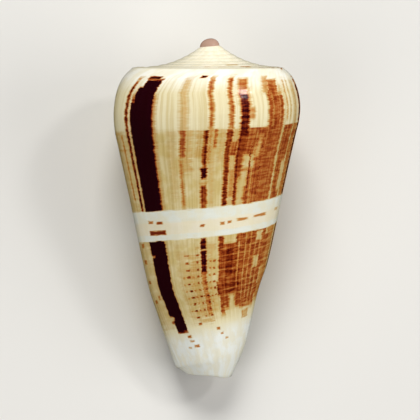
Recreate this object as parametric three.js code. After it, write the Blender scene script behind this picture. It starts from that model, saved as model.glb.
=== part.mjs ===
// A cone shell: one thin wall wound in a spiral around a vertical axis, with a low stepped
// spire, a broadly rounded shoulder, a long tapering body and a narrow aperture.
// Units are millimetres. The shell is first modelled with its apex at the origin and its
// axis pointing down -Y, and is then tipped into the pose in which it lies on a table.
import * as THREE from 'three';
import { ParametricGeometry } from 'three/addons/geometries/ParametricGeometry.js';
import { mergeGeometries, mergeVertices } from 'three/addons/utils/BufferGeometryUtils.js';

// ---------- driving dimensions ----------
const TURN = 360; // degrees of growth in one whorl
const GROWTH_PER_WHORL = 1.2; // every radius grows by this factor in one whorl
const WHORLS_SHOWN = 8; // whorls visible on the spire
const WHORLS_TO_POINT = 9; // whorls after which the spiral closes on its axis
const SUTURE_RADIUS = 11.8; // radius of the suture at the outer lip
const SPIRE_HEIGHT = 5.15;
const SPIRE_RADIUS = 13.2;
const SPIRE_CURVE = 2.3; // above 1 the spire outline is concave
const RAMP_ARCH = 0.12; // how far each whorl's upper face bulges
const SIDE_OFFSET = 38; // degrees of growth from the outer lip back to the left side
const RIDGE_RADIUS = 6.55; // ridge around the base, on the left side of the shell
const RIDGE_DEPTH = 57.8;
const RIDGE_CLIMB = 0.085; // how fast it climbs, per half turn back
const RIDGE_NARROWING = 0.02;
const RIM_LEAST_RADIUS = 0.35; // rim of the cut-off base end, which runs into the columella
const RIM_SPREAD = 4.4;
const RIM_NARROWING = 0.3;
const RIM_DEPTH = 59.4;
const RIM_DROP = 0.6; // the front of the base end reaches this much lower
const RIM_DROP_FROM = 0.45; // half turns back where the drop starts
const RIM_DROP_TO = 0.75;
const BASE_BULGE = [0.12, 0.1]; // swell between the ridge and the rim, outwards and down
const WALL_AT_LIP = 0.7;
const WALL_INSIDE = 1.2;
const WALL_THICKENING_TURN = 60; // degrees back from the lip over which the wall thickens
const LIP_ROUNDING = 0.22;
const CAVITY_TURN_AT_SHOULDER = 300; // degrees that the hollow runs back inside the body
const CAVITY_TURN_AT_BASE = 180;
const NOTCH_DEPTH = 24; // degrees that the lip is cut back between suture and shoulder
const REST_PITCH = 12.38; // degrees that the apex end is raised when the shell lies down
const REST_ROLL = -7.24; // degrees that it leans over onto its outer lip

// ---------- mesh fineness ----------
const COLUMNS = 60; // columns in one whorl
const CAVITY_COLUMNS = (COLUMNS * CAVITY_TURN_AT_BASE) / TURN;
const RAMP_ROWS = 2;
const DOME_ROWS = 4;
const WELD = 1e-4;
const OUTLINE_STEP = 0.02; // part of a level over which the outline's direction is taken

// Outline of the newest whorl from shoulder to base: radius, depth below the apex, and the
// distance above the apex of the point from which that level grows.
const SIDE_OUTLINE = [
  [14.16, 5.6, 0],
  [15.9, 7.25, 0],
  [17.1, 9.9, 0],
  [17.6, 13.3, 2],
  [17.4, 16.7, 6],
  [16.66, 20.3, 10],
  [14.7, 29.4, 12.26],
  [12.86, 38.4, 12.26],
  [11.2, 45.7, 12.26],
  [9.4, 51.1, 12.26],
];
const RIM_LEVEL = SIDE_OUTLINE.length + 2; // after the ridge and the cone below it
const ROOF_LEVEL = 0.6; // where the hollow's roof meets the whorl inside it
const SIDE_LEVELS = [
  0, ROOF_LEVEL / 2, ROOF_LEVEL, 1, 1.5, 2, 2.5, 3, 4, 5, 6, 7, 8, 9, 10, 11, RIM_LEVEL,
];
const SPIRE_SHARES = [1, 0.5, 0.15]; // how much the first outline points follow the spire's outline
// How far growth lines lead or lag along the side, in degrees, at chosen levels.
const LAG_LEVELS = [0, 1, 2, 3, 8, 9, 10, 11, RIM_LEVEL];
const LAG_DEGREES = [-20, -10, -3, 0, -1.5, -6, -18, -22, -25];

const clamp01 = (x) => Math.min(1, Math.max(0, x));
const mix = (a, b, share) => a + (b - a) * share;

/** Scale of the whorl at a growth angle, 1 at the outer lip. */
function growth(angle) {
  return GROWTH_PER_WHORL ** (angle / TURN);
}

/** Radius of the suture, closing on the axis as the whorls are followed back. */
function sutureRadius(angle) {
  const back = THREE.MathUtils.clamp(-angle / TURN, 0, WHORLS_TO_POINT);
  return SUTURE_RADIUS * growth(angle) * (1 - (back / WHORLS_TO_POINT) ** 4);
}

/** Depth of the spire's outline at a radius. */
function spireDepth(radius) {
  return SPIRE_HEIGHT * (1 - (1 - clamp01(radius / SPIRE_RADIUS)) ** SPIRE_CURVE);
}

/** Half turns back from the left side of the shell. */
function halfTurnsBack(angle) {
  return (-SIDE_OFFSET - angle) / (TURN / 2);
}

/** Ridge around the base, as radius and depth. */
function ridge(angle) {
  const back = halfTurnsBack(angle);
  const radius = RIDGE_RADIUS * Math.exp(-RIDGE_NARROWING * back * back);
  return new THREE.Vector2(radius, RIDGE_DEPTH * Math.exp(-RIDGE_CLIMB * back));
}

/** Rim of the cut-off base end, as radius and depth. */
function rim(angle) {
  const back = halfTurnsBack(angle);
  const radius = RIM_LEAST_RADIUS + RIM_SPREAD * Math.exp(-RIM_NARROWING * back * back);
  const drop = RIM_DROP * THREE.MathUtils.smoothstep(back, RIM_DROP_FROM, RIM_DROP_TO);
  return new THREE.Vector2(radius, RIM_DEPTH + drop);
}

/** Control points of the side outline at a growth angle. */
function sideControls(angle) {
  const scale = growth(angle);
  const points = SIDE_OUTLINE.map(([radius, depth, centre]) => (
    new THREE.Vector2(scale * radius, scale * (depth + centre) - centre)));
  const toSpire = spireDepth(points[0].x) - points[0].y;
  SPIRE_SHARES.forEach((share, i) => (points[i].y += share * toSpire));
  const ridgePoint = ridge(angle);
  const rimPoint = rim(angle);
  const between = ridgePoint.clone().lerp(rimPoint, 0.5).add(new THREE.Vector2(...BASE_BULGE));
  points.push(ridgePoint, between, rimPoint);
  return points;
}

/** Point of the side outline: Catmull-Rom through the controls, run on straight at both ends. */
function sideOutline(angle, level) {
  const points = sideControls(angle);
  const last = points.length - 1;
  const first = Math.min(Math.floor(level), last - 1);
  const t = level - first;
  const beyond = (end, next) => end.clone().multiplyScalar(2).sub(next);
  const before = first > 0 ? points[first - 1] : beyond(points[0], points[1]);
  const after = first + 2 <= last ? points[first + 2] : beyond(points[last], points[last - 1]);
  const weights = [
    -0.5 * t + t * t - 0.5 * t ** 3,
    1 - 2.5 * t * t + 1.5 * t ** 3,
    0.5 * t + 2 * t * t - 1.5 * t ** 3,
    -0.5 * t * t + 0.5 * t ** 3,
  ];
  const sum = new THREE.Vector2();
  const near = [before, points[first], points[first + 1], after];
  near.forEach((control, i) => sum.addScaledVector(control, weights[i]));
  return sum;
}

/** Inner face of the wall: the outline moved inwards, square to itself. */
function innerOutline(sweep, angle, level) {
  const above = sideOutline(angle, Math.max(0, level - OUTLINE_STEP));
  const below = sideOutline(angle, Math.min(RIM_LEVEL, level + OUTLINE_STEP));
  const along = below.sub(above).normalize();
  const wall = mix(WALL_AT_LIP, WALL_INSIDE, clamp01(-sweep / WALL_THICKENING_TURN));
  return sideOutline(angle, level).add(new THREE.Vector2(-along.y, along.x).multiplyScalar(wall));
}

/** Lag of the growth lines at a level of the side. */
function lag(level) {
  const i = Math.min(LAG_LEVELS.findLastIndex((mark) => mark <= level), LAG_LEVELS.length - 2);
  const share = (level - LAG_LEVELS[i]) / (LAG_LEVELS[i + 1] - LAG_LEVELS[i]);
  return mix(LAG_DEGREES[i], LAG_DEGREES[i + 1], share);
}

/** Turns a radius and depth at a growth angle into a point of the shell. */
function place(target, angle, outline) {
  const azimuth = THREE.MathUtils.degToRad(-SIDE_OFFSET - angle);
  return target.set(-outline.x * Math.cos(azimuth), -outline.y, outline.x * Math.sin(azimuth));
}

// Surfaces. A sweep is degrees of growth from the outer lip, 0 or less.
function sidePoint(target, sweep, level) {
  const angle = sweep + lag(level);
  return place(target, angle, sideOutline(angle, level));
}

function innerPoint(target, sweep, level) {
  const angle = sweep + lag(level);
  return place(target, angle, innerOutline(sweep, angle, level));
}

function rampPoint(target, sweep, share) {
  const angle = sweep + lag(0) - NOTCH_DEPTH * share * (1 - share);
  const inner = sutureRadius(angle);
  const outer = sutureRadius(angle + TURN);
  const width = (outer - inner) / (SUTURE_RADIUS * (GROWTH_PER_WHORL - 1));
  const arch = 4 * RAMP_ARCH * width * share * (1 - share);
  const depth = mix(spireDepth(inner), spireDepth(outer), share) - arch;
  return place(target, angle, new THREE.Vector2(mix(inner, outer, share), depth));
}

function roofPoint(target, sweep, share) {
  const angle = sweep + mix(lag(ROOF_LEVEL), lag(0), share) - NOTCH_DEPTH * share * (1 - share);
  const atCore = sideOutline(angle - TURN, ROOF_LEVEL);
  const atWall = innerOutline(sweep, angle, 0);
  return place(target, angle, atCore.lerp(atWall, share));
}

/** Degrees that the hollow runs back at a level. */
function cavityTurn(level) {
  const share = THREE.MathUtils.smoothstep(level, 3, RIM_LEVEL);
  return mix(CAVITY_TURN_AT_SHOULDER, CAVITY_TURN_AT_BASE, share);
}

// ---------- patches ----------
/** A patch over columns and rows; pointAt gets whole column and row numbers. */
function patch(pointAt, columns, rows, turnedOver = false) {
  const geometry = new ParametricGeometry((u, v, target) => {
    const across = turnedOver ? 1 - u : u;
    pointAt(target, Math.round(across * columns), Math.round(v * rows));
  }, columns, rows);
  geometry.deleteAttribute('normal');
  geometry.deleteAttribute('uv');
  return geometry;
}

/** A strip between two rows of the same number of points. */
function strip(lineA, lineB, turnedOver = false) {
  const pointAt = (target, i, j) => target.copy((j === 0 ? lineA : lineB)[i]);
  return patch(pointAt, lineA.length - 1, 1, turnedOver);
}

const point = (surface, sweep, share) => surface(new THREE.Vector3(), sweep, share);
const range = (count) => Array.from({ length: count + 1 }, (_, i) => i);
const sweepOf = (column) => -(TURN * column) / COLUMNS;
const cavitySweep = (column, level) => -(cavityTurn(level) * column) / CAVITY_COLUMNS;
const lastLevel = SIDE_LEVELS.length - 1;
const roofRow = SIDE_LEVELS.indexOf(ROOF_LEVEL);

function spire() {
  const columns = COLUMNS * WHORLS_SHOWN;
  return patch((target, i, j) => rampPoint(target, sweepOf(i), j / RAMP_ROWS), columns, RAMP_ROWS, true);
}

/** The small worn dome that closes the top, and the step beside it in the first whorl. */
function apex() {
  const start = WHORLS_SHOWN * COLUMNS;
  const edge = range(COLUMNS).map((i) => point(rampPoint, sweepOf(start - COLUMNS + i), 0));
  const ring = [...edge.slice(1), edge[1]];
  const dome = patch((target, i, j) => {
    const lift = (Math.PI / 2) * (j / DOME_ROWS);
    const { x, y, z } = ring[i];
    return target.set(x * Math.cos(lift), y * (1 - Math.sin(lift)), z * Math.cos(lift));
  }, COLUMNS, DOME_ROWS);
  const step = range(RAMP_ROWS).map((k) => point(rampPoint, sweepOf(start), 1 - k / RAMP_ROWS));
  return [dome, strip(step.map(() => edge[1]), step)];
}

/** The outer side of the last whorl. */
function body() {
  return patch((target, i, j) => sidePoint(target, sweepOf(i), SIDE_LEVELS[j]), COLUMNS, lastLevel, true);
}

/** The older whorl seen inside the hollow, down to the columella. */
function core() {
  const levels = SIDE_LEVELS.slice(roofRow);
  return patch((target, i, j) => sidePoint(target, -TURN + cavitySweep(i, levels[j]), levels[j]),
    CAVITY_COLUMNS, levels.length - 1, true);
}

/** The wall's inner face. */
function innerWall() {
  return patch((target, i, j) => innerPoint(target, cavitySweep(i, SIDE_LEVELS[j]), SIDE_LEVELS[j]),
    CAVITY_COLUMNS, lastLevel);
}

/** The roof of the hollow, under the spire. */
function roof() {
  return patch((target, i, j) => roofPoint(target, cavitySweep(i, 0), j / RAMP_ROWS),
    CAVITY_COLUMNS, RAMP_ROWS);
}

/** Edge of the wall: an outer, a raised middle and an inner line. */
function roundedEdge(outer, middle, inner, turnedOver) {
  return [strip(outer, middle, turnedOver), strip(middle, inner, turnedOver)];
}

/** The outer lip, from the suture over the shoulder to the base. */
function lip() {
  const ramp = range(RAMP_ROWS).slice(0, RAMP_ROWS);
  const lineOf = (top, side, sweep) => [
    ...ramp.map((k) => point(top, sweep, k / RAMP_ROWS)),
    ...SIDE_LEVELS.map((t) => point(side, sweep, t)),
  ];
  const outer = lineOf(rampPoint, sidePoint, 0);
  const inner = lineOf(roofPoint, innerPoint, 0);
  const ahead = lineOf(rampPoint, sidePoint, 1);
  const middle = outer.map((p, i) => {
    const forward = ahead[i].clone().sub(p).normalize().multiplyScalar(LIP_ROUNDING);
    return p.clone().lerp(inner[i], 0.5).add(forward);
  });
  middle[0] = point(sidePoint, -TURN, SIDE_LEVELS[1]);
  return { strips: roundedEdge(outer, middle, inner, true), corner: middle.at(-1) };
}

/** Rim of the wall around the canal, and the closed bottom of the older whorls. */
function base(lipCorner) {
  const outer = range(CAVITY_COLUMNS).map((i) => point(sidePoint, sweepOf(i), RIM_LEVEL));
  const inner = range(CAVITY_COLUMNS).map((i) => point(innerPoint, sweepOf(i), RIM_LEVEL));
  const down = new THREE.Vector3(0, -LIP_ROUNDING, 0);
  const middle = outer.map((p, i) => p.clone().lerp(inner[i], 0.5).add(down));
  middle[0] = lipCorner;
  const closed = range(COLUMNS - CAVITY_COLUMNS)
    .map((i) => point(sidePoint, sweepOf(CAVITY_COLUMNS + i), RIM_LEVEL));
  const columella = range(CAVITY_COLUMNS).map((i) => point(sidePoint, -TURN + sweepOf(i), RIM_LEVEL));
  const centre = new THREE.Vector3(0, columella[0].y, 0);
  const pivot = closed[1];
  const step = [outer.at(-1), middle.at(-1), inner.at(-1), columella.at(-1), centre];
  return [
    ...roundedEdge(outer, middle, inner, true),
    strip(closed.slice(1), closed.slice(1).map(() => centre), true),
    strip(columella, columella.map(() => centre), true),
    strip(step, step.map(() => pivot)),
  ];
}

/** The blind end of the hollow. */
function deadEnd() {
  const levels = SIDE_LEVELS.slice(roofRow);
  const wall = levels.map((t) => point(innerPoint, -cavityTurn(t), t));
  const inside = levels.map((t) => point(sidePoint, -TURN - cavityTurn(t), t));
  const corner = [
    ...range(RAMP_ROWS).slice(1).map((k) => point(roofPoint, -cavityTurn(0), k / RAMP_ROWS)),
    ...SIDE_LEVELS.slice(1, roofRow + 1).map((t) => point(innerPoint, -cavityTurn(t), t)),
  ];
  return [strip(wall, inside, true), strip(corner.map(() => inside[0]), corner)];
}

/** Joins the patches into one closed surface and drops triangles that have closed up. */
function weld(patches) {
  const geometry = mergeVertices(mergeGeometries(patches), WELD);
  const corners = geometry.index.array;
  const kept = [];
  for (let i = 0; i < corners.length; i += 3) {
    const [a, b, c] = corners.subarray(i, i + 3);
    if (a !== b && b !== c && c !== a) kept.push(a, b, c);
  }
  geometry.setIndex(kept);
  geometry.computeVertexNormals();
  return geometry;
}

const lipParts = lip();
const shellGeometry = weld([
  spire(), ...apex(), body(), core(), innerWall(), roof(),
  ...lipParts.strips, ...base(lipParts.corner), ...deadEnd(),
]);

// ---------- the shell, lying on its aperture side ----------
const glossyShell = new THREE.MeshStandardMaterial({ color: '#e9dcc6', roughness: 0.3, metalness: 0 });
const coneShell = new THREE.Mesh(shellGeometry, glossyShell);
coneShell.name = 'cone_shell';
const [pitch, roll] = [REST_PITCH, REST_ROLL].map(THREE.MathUtils.degToRad);
coneShell.rotation.set(pitch, roll, 0, 'XYZ');

const part = new THREE.Group();
part.add(coneShell);
part.updateMatrixWorld(true);
const box = new THREE.Box3().setFromObject(part, true);
const centre = box.getCenter(new THREE.Vector3());
part.position.set(-centre.x, -centre.y, -box.min.z);
part.updateMatrixWorld(true);

export default part;
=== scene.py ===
"""Finish of a banded cone shell: a fine modelled wall, its growth markings, and a plain studio."""

from __future__ import annotations

import logging
import math
from collections.abc import Sequence
from dataclasses import dataclass, field
from enum import Enum
from typing import Any

import bpy
import numpy as np
from mathutils import Matrix, Vector

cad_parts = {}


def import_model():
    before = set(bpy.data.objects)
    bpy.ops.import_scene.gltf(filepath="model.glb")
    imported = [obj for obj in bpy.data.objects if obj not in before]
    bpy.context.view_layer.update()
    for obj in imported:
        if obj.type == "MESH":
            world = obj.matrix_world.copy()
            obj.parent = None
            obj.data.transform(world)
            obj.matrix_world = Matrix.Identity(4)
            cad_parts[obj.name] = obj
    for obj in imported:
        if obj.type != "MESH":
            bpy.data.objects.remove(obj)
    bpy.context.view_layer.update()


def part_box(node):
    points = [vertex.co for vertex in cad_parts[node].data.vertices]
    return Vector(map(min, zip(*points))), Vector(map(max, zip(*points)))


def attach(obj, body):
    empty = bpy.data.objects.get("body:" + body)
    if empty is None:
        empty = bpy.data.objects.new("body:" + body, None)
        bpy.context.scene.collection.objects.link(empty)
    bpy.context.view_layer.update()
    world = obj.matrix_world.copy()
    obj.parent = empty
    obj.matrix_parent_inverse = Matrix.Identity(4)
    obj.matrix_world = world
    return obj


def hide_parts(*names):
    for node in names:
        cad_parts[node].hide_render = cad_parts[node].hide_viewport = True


Node = bpy.types.Node
Socket = bpy.types.NodeSocket
Inputs = dict[str, Any] | tuple[Any, ...]
Stops = Sequence[tuple[float, tuple[float, ...]]]

LOG = logging.getLogger("cone_shell")
NODE = "cone_shell"
METRES_PER_MM = 0.001
TURN = 360.0
DEGREES_PER_UNIT = 360.0
MM_PER_UNIT = 60.0
WELD_MM = 1e-4
SPIRE_SPAN_MM = 34.0
CAP_DOWN_MM = -0.5
FINE_LEVELS = 2401
GROWTH_MAP = "Growth"
BAKE_MAP = "OFBake"
SMOOTH = {"interpolation_type": "SMOOTHSTEP"}


class Pigment(Enum):
    """Colours laid down in the shell, as sRGB hex."""

    # painted highlight: the shoulder's top, pale shell lightened to near white as if lit hard from beyond the
    # spire
    SHOULDER_HIGHLIGHT = "#faf8ec"
    # painted highlight: the spire's pale cream, lightened towards white as if lit hard from above
    SPIRE = "#fcf4da"
    BAND = "#e9ebde"
    PALE = "#efe6cc"
    BASE = "#f2f4ec"
    APEX = "#a4796a"
    CREAM = "#ebe0b8"
    STRAW = "#d6c080"


def linear(colour: str) -> tuple[float, float, float, float]:
    """Turn an sRGB hex colour into linear RGBA.

    Args:
        colour: Hex colour such as "#aabbcc".

    Returns:
        Linear red, green, blue and an alpha of 1.
    """
    parts = [int(colour[i : i + 2], 16) / 255 for i in (1, 3, 5)]
    red, green, blue = (p / 12.92 if p <= 0.04045 else ((p + 0.055) / 1.055) ** 2.4 for p in parts)
    return red, green, blue, 1.0


def smoothstep(low: float, high: float, x: np.ndarray) -> np.ndarray:
    """Rise smoothly from 0 at low to 1 at high: 3t squared less 2t cubed.

    Args:
        low: Where the rise starts.
        high: Where it ends.
        x: Values to place on the rise.

    Returns:
        The height of the rise at each value.
    """
    t = np.clip((x - low) / (high - low), 0.0, 1.0)
    return t * t * (3.0 - 2.0 * t)


# ---- Shape ----


@dataclass(frozen=True)
class GrowthSpiral:
    """The spiral law of the shell, in millimetres and degrees of growth.

    The apex is the origin, the axis points down -Y and the back faces +Z. A sweep is the growth
    angle back from the outer lip, 0 or less. A level runs down the side of a whorl, from 0 at the
    shoulder's top to 12 at the rim of the base end.
    """

    growth_per_whorl: float = 1.2
    whorls_shown: int = 8
    whorls_to_point: float = 9.0
    suture_radius: float = 11.8
    spire_height: float = 5.15
    spire_radius: float = 13.2
    spire_curve: float = 2.3
    ramp_arch: float = 0.12
    ramp_grooves: float = 0.07
    swell_height: float = 0.035
    ridge_radius: float = 6.55
    ridge_narrowing: float = 0.02
    ridge_depth: float = 57.8
    ridge_rise: float = 0.085
    rim_radius: float = 0.35
    rim_widening: float = 4.4
    rim_narrowing: float = 0.3
    rim_depth: float = 59.4
    rim_step: float = 0.6
    base_bulge: tuple[float, float] = (0.12, 0.1)
    side_offset: float = 38.0
    wall_at_lip: float = 0.7
    wall_inside: float = 1.2
    notch_depth: float = 24.0
    cavity_at_shoulder: float = 300.0
    cavity_at_base: float = 180.0
    roof_level: float = 0.6
    # radius, depth below the apex, and height above the apex of the point that level grows from
    outline: tuple[tuple[float, float, float], ...] = (
        (14.16, 5.6, 0.0),
        (15.9, 7.25, 0.0),
        (17.1, 9.9, 0.0),
        (17.6, 13.3, 2.0),
        (17.4, 16.7, 6.0),
        (16.66, 20.3, 10.0),
        (14.7, 29.4, 12.26),
        (12.86, 38.4, 12.26),
        (11.2, 45.7, 12.26),
        (9.4, 51.1, 12.26),
    )
    lag_levels: tuple[float, ...] = (0, 1, 2, 3, 8, 9, 10, 11, 12)
    lag_degrees: tuple[float, ...] = (-20, -10, -3, 0, -1.5, -6, -18, -22, -25)

    @property
    def rim_level(self) -> int:
        """Level of the rim: two below the last outline point, past the ridge."""
        return len(self.outline) + 2

    def growth(self, angle: np.ndarray) -> np.ndarray:
        """Scale at a growth angle: the growth factor to the power of the turns."""
        return self.growth_per_whorl ** (angle / TURN)

    def suture(self, angle: np.ndarray) -> np.ndarray:
        """Radius of the suture: the spiral law, faded out by the fourth power of whorls back."""
        back = np.clip(-angle / TURN, 0.0, self.whorls_to_point) / self.whorls_to_point
        return self.suture_radius * self.growth(angle) * (1.0 - back**4)

    def spire_depth(self, radius: np.ndarray) -> np.ndarray:
        """Depth of the spire's outline: height times one less the curve power of what is left."""
        left = 1.0 - np.clip(radius / self.spire_radius, 0.0, 1.0)
        return self.spire_height * (1.0 - left**self.spire_curve)

    def controls(self, angle: np.ndarray) -> np.ndarray:
        """Control points of the side outline at each growth angle.

        Each point keeps its shape while it scales about its own centre on the axis. The ridge and
        the rim of the base grow by laws of their own, exponentials of the half turns back.

        Args:
            angle: Growth angles, any shape.

        Returns:
            Radius and depth, with the control number and the pair as the last two axes.
        """
        scale = self.growth(angle)
        radius, depth, centre = (np.array(part) for part in zip(*self.outline))
        radii = scale[..., None] * radius
        depths = scale[..., None] * (depth + centre) - centre
        to_spire = self.spire_depth(radii[..., 0]) - depths[..., 0]
        depths[..., :3] += to_spire[..., None] * np.array([1.0, 0.5, 0.15])
        back = (-self.side_offset - angle) / (TURN / 2)
        ridge_radius = self.ridge_radius * np.exp(-self.ridge_narrowing * back**2)
        ridge = np.stack([ridge_radius, self.ridge_depth * np.exp(-self.ridge_rise * back)], -1)
        rim_radius = self.rim_radius + self.rim_widening * np.exp(-self.rim_narrowing * back**2)
        rim = np.stack([rim_radius, self.rim_depth + self.rim_step * smoothstep(0.45, 0.75, back)], -1)
        between = (ridge + rim) / 2 + np.array(self.base_bulge)
        side = np.stack([radii, depths], -1)
        return np.concatenate([side, ridge[..., None, :], between[..., None, :], rim[..., None, :]], -2)

    def side_outline(self, angle: np.ndarray, level: np.ndarray) -> np.ndarray:
        """Radius and depth of the side: a Catmull-Rom curve through the controls.

        Args:
            angle: Growth angles.
            level: Levels, of a shape that fits the angles.

        Returns:
            Radius and depth as the last axis.
        """
        angle, level = np.broadcast_arrays(angle, level)
        points = self.controls(angle)
        before = 2 * points[..., :1, :] - points[..., 1:2, :]
        after = 2 * points[..., -1:, :] - points[..., -2:-1, :]
        points = np.concatenate([before, points, after], -2)
        first = np.clip(np.floor(level), 0, self.rim_level - 1).astype(int)
        t = level - first
        weights = [
            -0.5 * t + t**2 - 0.5 * t**3,
            1.0 - 2.5 * t**2 + 1.5 * t**3,
            0.5 * t + 2.0 * t**2 - 1.5 * t**3,
            -0.5 * t**2 + 0.5 * t**3,
        ]
        total = np.zeros(angle.shape + (2,))
        for k, weight in enumerate(weights):
            picked = np.take_along_axis(points, (first + k)[..., None, None], -2)[..., 0, :]
            total += weight[..., None] * picked
        return total

    def inner_outline(self, sweep: np.ndarray, angle: np.ndarray, level: np.ndarray) -> np.ndarray:
        """Radius and depth of the wall's inner face: the side moved in, square to itself.

        Args:
            sweep: Sweep back from the lip, which sets the wall's thickness.
            angle: Growth angles.
            level: Levels.

        Returns:
            Radius and depth as the last axis.
        """
        step = 0.02
        below = self.side_outline(angle, np.minimum(self.rim_level, level + step))
        above = self.side_outline(angle, np.maximum(0.0, level - step))
        along = below - above
        along = along / np.linalg.norm(along, axis=-1, keepdims=True)
        share = np.clip(-sweep / 60.0, 0.0, 1.0)
        wall = self.wall_at_lip + (self.wall_inside - self.wall_at_lip) * share
        inwards = np.stack([-along[..., 1], along[..., 0]], -1)
        return self.side_outline(angle, level) + inwards * wall[..., None]

    def lag(self, level: np.ndarray) -> np.ndarray:
        """Degrees that the lip leads or lags at a level."""
        return np.interp(level, self.lag_levels, self.lag_degrees)

    def place(self, angle: np.ndarray, outline: np.ndarray) -> np.ndarray:
        """Points at a growth angle: the outline turned about the axis by the angle."""
        azimuth = np.radians(-self.side_offset - angle)
        radius, depth = outline[..., 0], outline[..., 1]
        return np.stack([-radius * np.cos(azimuth), -depth, radius * np.sin(azimuth)], -1)

    def undulation(self, sweep: np.ndarray, level: np.ndarray) -> np.ndarray:
        """Low swells where growth paused: three sine waves of the sweep, faded out at the ends."""
        waves = 0.5 * np.sin(np.radians(sweep * 11)) + 0.3 * np.sin(np.radians(sweep * 23 + 40 * level))
        waves = waves + 0.2 * np.sin(np.radians(sweep * 47 + 75 * level))
        fade = smoothstep(0.3, 2.0, level) * (1.0 - smoothstep(11.0, 11.9, level))
        return self.swell_height * waves * fade

    def side(self, sweep: np.ndarray, level: np.ndarray) -> np.ndarray:
        """Points of the outer side."""
        angle = sweep + self.lag(level)
        outline = self.side_outline(angle, level)
        swell = self.undulation(sweep, level)
        return self.place(angle, outline + np.stack([swell, np.zeros_like(swell)], -1))

    def inner(self, sweep: np.ndarray, level: np.ndarray) -> np.ndarray:
        """Points of the wall's inner face."""
        angle = sweep + self.lag(level)
        return self.place(angle, self.inner_outline(sweep, angle, level))

    def ramp(self, sweep: np.ndarray, share: np.ndarray) -> np.ndarray:
        """Points of a whorl's upper face, from the suture at share 0 to the shoulder at 1."""
        sweep, share = np.broadcast_arrays(sweep, share)
        angle = sweep + self.lag(np.zeros_like(share)) - self.notch_depth * share * (1.0 - share)
        inner = self.suture(angle)
        outer = self.suture(angle + TURN)
        width = (outer - inner) / (self.suture_radius * (self.growth_per_whorl - 1.0))
        arch = 4.0 * self.ramp_arch * share * (1.0 - share) * width
        grooves = self.ramp_grooves * width * np.sin(3.0 * math.pi * share) ** 2
        depth = self.spire_depth(inner) * (1.0 - share) + self.spire_depth(outer) * share
        radius = inner + (outer - inner) * share
        return self.place(angle, np.stack([radius, depth - arch + grooves], -1))

    def roof(self, sweep: np.ndarray, share: np.ndarray) -> np.ndarray:
        """Points of the hollow's roof: straight from the older whorl to the wall's inner face."""
        sweep, share = np.broadcast_arrays(sweep, share)
        lag = self.lag(np.array(self.roof_level)) * (1.0 - share) + self.lag(np.array(0.0)) * share
        angle = sweep + lag - self.notch_depth * share * (1.0 - share)
        level = np.full_like(share, self.roof_level)
        swell = self.undulation(sweep - TURN, level)
        core = self.side_outline(angle - TURN, level) + np.stack([swell, np.zeros_like(swell)], -1)
        wall = self.inner_outline(sweep, angle, np.zeros_like(share))
        return self.place(angle, core + (wall - core) * share[..., None])

    def cavity_turn(self, level: np.ndarray) -> np.ndarray:
        """Degrees that the hollow runs back at a level."""
        share = smoothstep(3.0, float(self.rim_level), level)
        return self.cavity_at_shoulder + (self.cavity_at_base - self.cavity_at_shoulder) * share


class Finish(Enum):
    """Finishes of the shell, by their number in the mesh."""

    PATTERNED = 0
    PORCELAIN = 1


class Tile(Enum):
    """Left, bottom, right and top of each sheet's place in the bake map."""

    SIDE = (0.005, 0.41, 0.995, 0.995)
    SPIRE = (0.005, 0.03, 0.365, 0.39)
    CORE = (0.40, 0.21, 0.995, 0.39)
    INNER = (0.40, 0.03, 0.995, 0.20)
    ROOF = (0.40, 0.005, 0.995, 0.025)
    LIP = (0.372, 0.03, 0.392, 0.39)
    RIM = (0.005, 0.005, 0.19, 0.025)
    DOME = (0.372, 0.005, 0.376, 0.012)
    FIRST_STEP = (0.378, 0.005, 0.382, 0.012)
    DEAD_END = (0.384, 0.005, 0.388, 0.025)
    DEAD_END_CORNER = (0.39, 0.005, 0.394, 0.012)
    CLOSED_BASE = (0.20, 0.005, 0.25, 0.025)
    COLUMELLA = (0.26, 0.005, 0.31, 0.025)
    CANAL_STEP = (0.32, 0.005, 0.37, 0.025)


@dataclass
class Sheet:
    """A grid of points with its growth coordinates, finish and place in the bake map."""

    points: np.ndarray
    growth: np.ndarray
    finish: Finish
    turned_over: bool
    tile: Tile
    flat: np.ndarray | None = None

    def bake_places(self) -> np.ndarray:
        """Place of each point in the bake map: its share of the grid, fitted to the tile."""
        columns, rows = self.points.shape[:2]
        unit = self.flat
        if unit is None:
            u, v = np.meshgrid(np.linspace(0, 1, columns), np.linspace(0, 1, rows), indexing="ij")
            unit = np.stack([u, v], -1)
        tile = np.array(self.tile.value)
        return tile[:2] + unit * (tile[2:] - tile[:2])


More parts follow.
